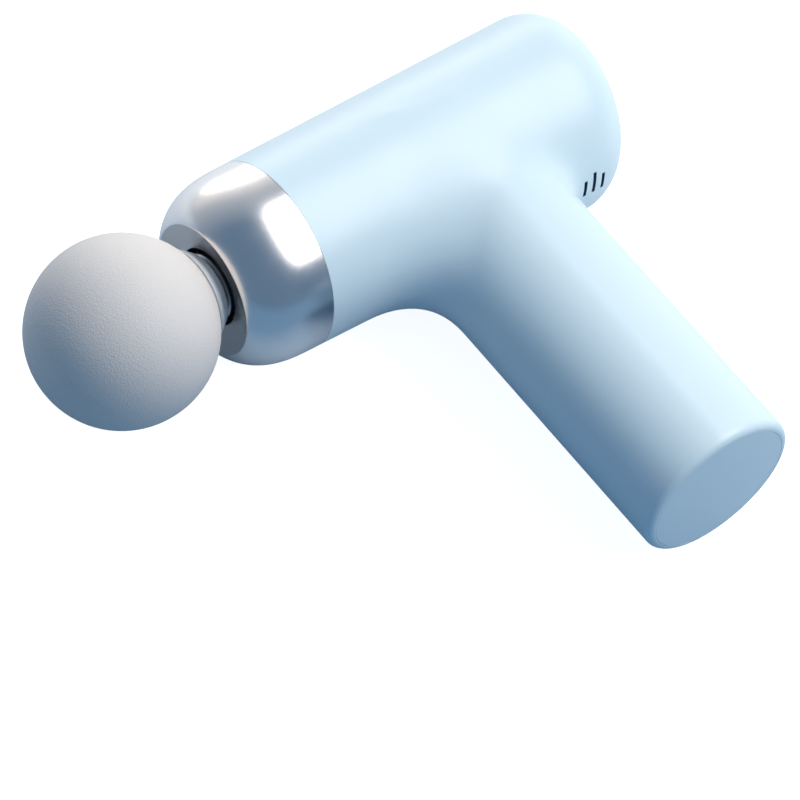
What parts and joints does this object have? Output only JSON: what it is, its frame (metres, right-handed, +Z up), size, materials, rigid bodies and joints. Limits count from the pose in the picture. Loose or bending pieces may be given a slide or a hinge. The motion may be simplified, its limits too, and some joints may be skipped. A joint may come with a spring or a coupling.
{
  "type": "massage gun",
  "caption": "Hand-held T-shaped percussion massage gun: turned nose ring and interchangeable ball head, driven by a crank from a motor in the handle.",
  "frame": {"origin": "bottom centre of the bounding box, the gun lying on its side", "axes": "+X towards the rear of the barrel (the head points along -X), the handle runs along -Y, +Z up across the body"},
  "size_m": [0.155, 0.1278, 0.0477],
  "materials": {
    "body": "satin soft-touch",
    "chrome": "satin polished",
    "foam": "fine grained foam skin",
    "light_plastic": "smooth",
    "steel": "machined",
    "alloy": "satin",
    "bronze": "sintered",
    "rubber": "matte",
    "magnet": "plated",
    "lamination": "stacked sheet",
    "copper": "enamelled wire",
    "cell": "shrink sleeve",
    "dark_plastic": "moulded",
    "board": "solder mask",
    "wire": "insulated",
    "diffuser": "translucent"
  },
  "bodies": {
    "housing": {"main_housing": "body", "handle_end_cap": "body", "nose_ring": "chrome", "guide_sleeve": "alloy", "slide_bush": "bronze", "dust_seal": "rubber", "damper_ring": "rubber", "guide_retainer": "steel", "stator_core": "lamination", "stator_windings": "copper", "motor_cage": "alloy", "motor_base": "alloy", "shaft_bearing_front": "steel", "shaft_bush_rear": "bronze", "motor_screw_1": "steel", "motor_screw_2": "steel", "motor_screw_3": "steel", "battery_cell_1": "cell", "battery_cell_2": "cell", "battery_cradle": "dark_plastic", "control_board": "board", "driver_chip": "dark_plastic", "charge_inductor": "dark_plastic", "capacitor_1": "alloy", "capacitor_2": "alloy", "usb_socket": "steel", "usb_tongue": "dark_plastic", "motor_lead_1": "wire", "motor_lead_2": "wire", "motor_lead_3": "wire", "battery_lead_1": "wire", "battery_lead_2": "wire", "light_ring": "diffuser", "tact_switch": "dark_plastic", "button_board": "board"},
    "rotor": {"motor_shaft": "steel", "rotor_can": "steel", "rotor_magnet": "magnet", "eccentric_wheel": "steel"},
    "rod": {"connecting_rod": "alloy", "crank_bearing": "steel", "wrist_bush": "bronze", "crank_pin": "steel"},
    "piston": {"piston": "steel", "wrist_pin": "steel"},
    "head": {"massage_ball": "foam", "head_collar": "light_plastic", "o_ring_front": "rubber", "o_ring_rear": "rubber"},
    "button": {"power_button": "body"}
  },
  "joints": [
    {"name": "rotor_spin", "type": "hinge", "parent": "housing", "child": "rotor", "pos_m": [0.03391, 0.04006, 0.02388], "axis": [0, -1, 0], "continuous": true},
    {"name": "piston_stroke", "type": "slide", "parent": "housing", "child": "piston", "axis": [-1, 0, 0], "range_m": [0, 0.007]},
    {"name": "rod_swing", "type": "hinge", "parent": "piston", "child": "rod", "pos_m": [0.00741, 0.04006, 0.02388], "axis": [0, -1, 0], "range_deg": [-6.7, 6.7]},
    {"name": "head_pull", "type": "slide", "parent": "piston", "child": "head", "axis": [-1, 0, 0], "range_m": [0, 0.03]},
    {"name": "button_press", "type": "slide", "parent": "housing", "child": "button", "axis": [-0.9971, 0.0767, 0], "range_m": [0, 0.0008], "stiffness_N_per_m": 1200, "springref_m": -0.0003}
  ]
}
